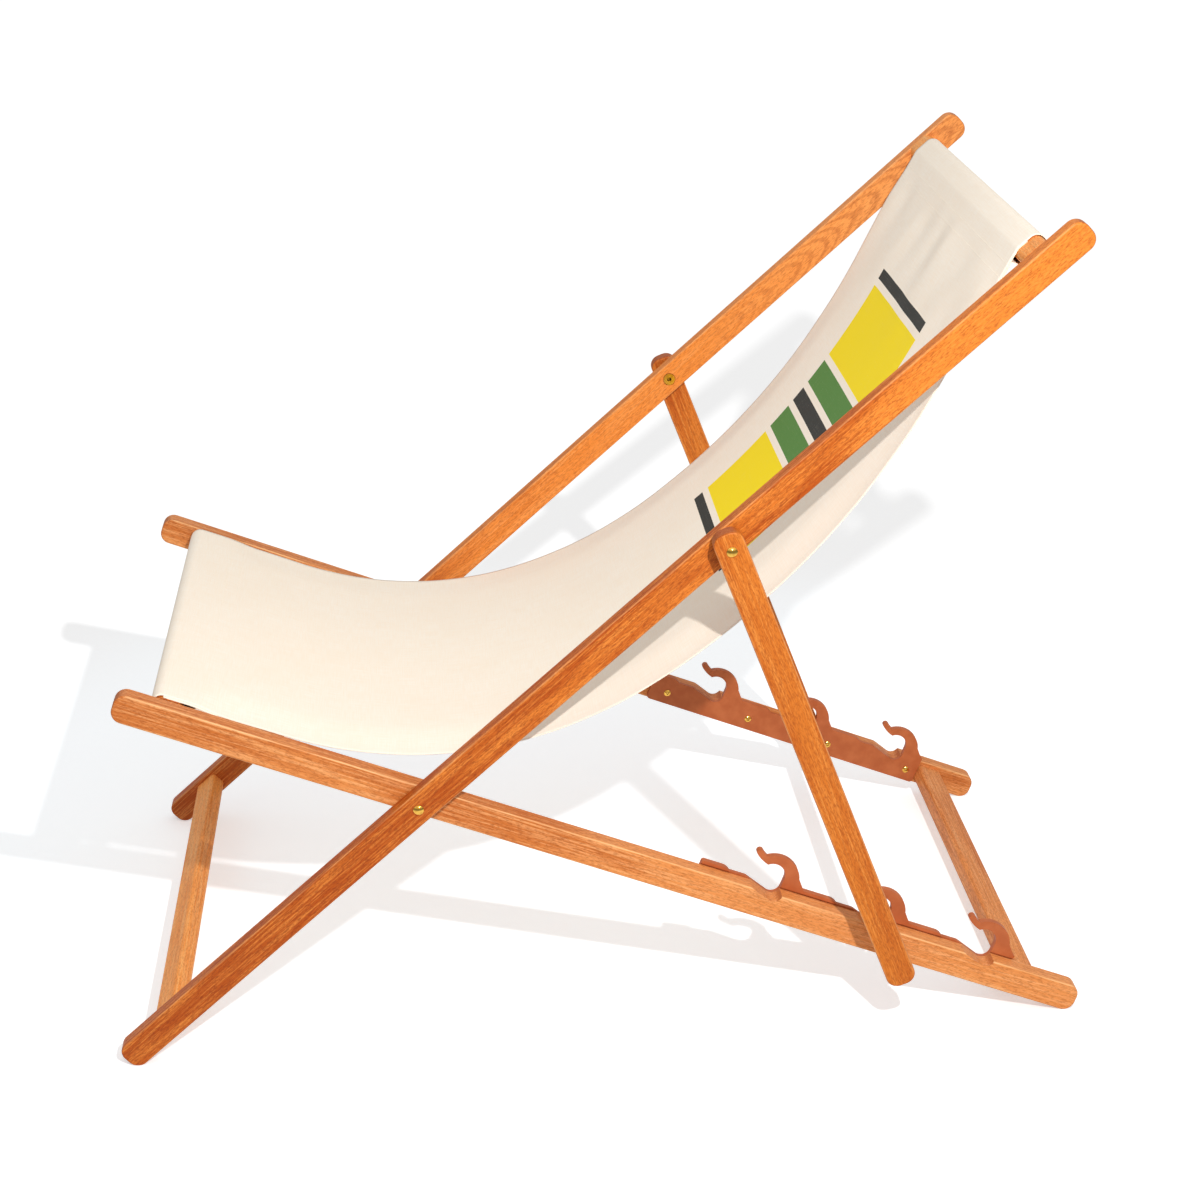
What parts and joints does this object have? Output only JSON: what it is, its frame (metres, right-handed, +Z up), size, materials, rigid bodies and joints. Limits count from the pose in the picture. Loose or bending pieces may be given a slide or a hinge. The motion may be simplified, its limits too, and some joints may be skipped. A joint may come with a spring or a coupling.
{
  "type": "folding beach chair",
  "caption": "Folding wooden sling chair: a canvas seat hangs between a long back frame and a crossing seat frame, held open by a prop frame whose dowel drops into hooked racks.",
  "frame": {"origin": "on the floor under the middle of the open chair's bounding box", "axes": "+X to the sitter's left, +Y to the rear (the sitter faces -Y), +Z up"},
  "size_m": [0.6182, 0.9889, 0.8419],
  "materials": {
    "beech": "orange-brown stained hardwood, satin",
    "canvas": "cream cotton canvas, plain weave",
    "rack_plastic": "moulded brown plastic, matte",
    "brass": "polished brass",
    "spacer_plastic": "dark brown nylon, matte"
  },
  "bodies": {
    "seat_frame": {"seat_rail_left": "beech", "seat_rail_right": "beech", "seat_front_bar": "beech", "seat_rear_bar": "beech", "notched_rack_left": "rack_plastic", "notched_rack_right": "rack_plastic", "rack_screws_left": "brass", "rack_screws_right": "brass", "sling": "canvas"},
    "back_frame": {"back_rail_left": "beech", "back_rail_right": "beech", "back_top_bar": "beech", "back_foot_bar": "beech", "main_pivot_barrel_left": "brass", "main_pivot_barrel_right": "brass", "main_pivot_screw_left": "brass", "main_pivot_screw_right": "brass", "main_pivot_washer_left": "spacer_plastic", "main_pivot_washer_right": "spacer_plastic", "prop_pivot_barrel_left": "brass", "prop_pivot_barrel_right": "brass", "prop_pivot_screw_left": "brass", "prop_pivot_screw_right": "brass", "prop_pivot_spacer_left": "spacer_plastic", "prop_pivot_spacer_right": "spacer_plastic"},
    "prop_frame": {"prop_strut_left": "beech", "prop_strut_right": "beech", "prop_dowel": "beech"}
  },
  "joints": [
    {"name": "back_lift", "type": "hinge", "parent": "seat_frame", "child": "back_frame", "pos_m": [0, -0.18509, 0.27599], "axis": [1, 0, 0], "range_deg": [0, 55], "deforming": ["sling"]},
    {"name": "prop_swing", "type": "hinge", "parent": "back_frame", "child": "prop_frame", "pos_m": [0, 0.11702, 0.54421], "axis": [1, 0, 0], "range_deg": [-52.3, 0]}
  ],
  "couplings": [
    {"joint": "prop_swing", "follows": "back_lift", "ratio": -0.95}
  ]
}
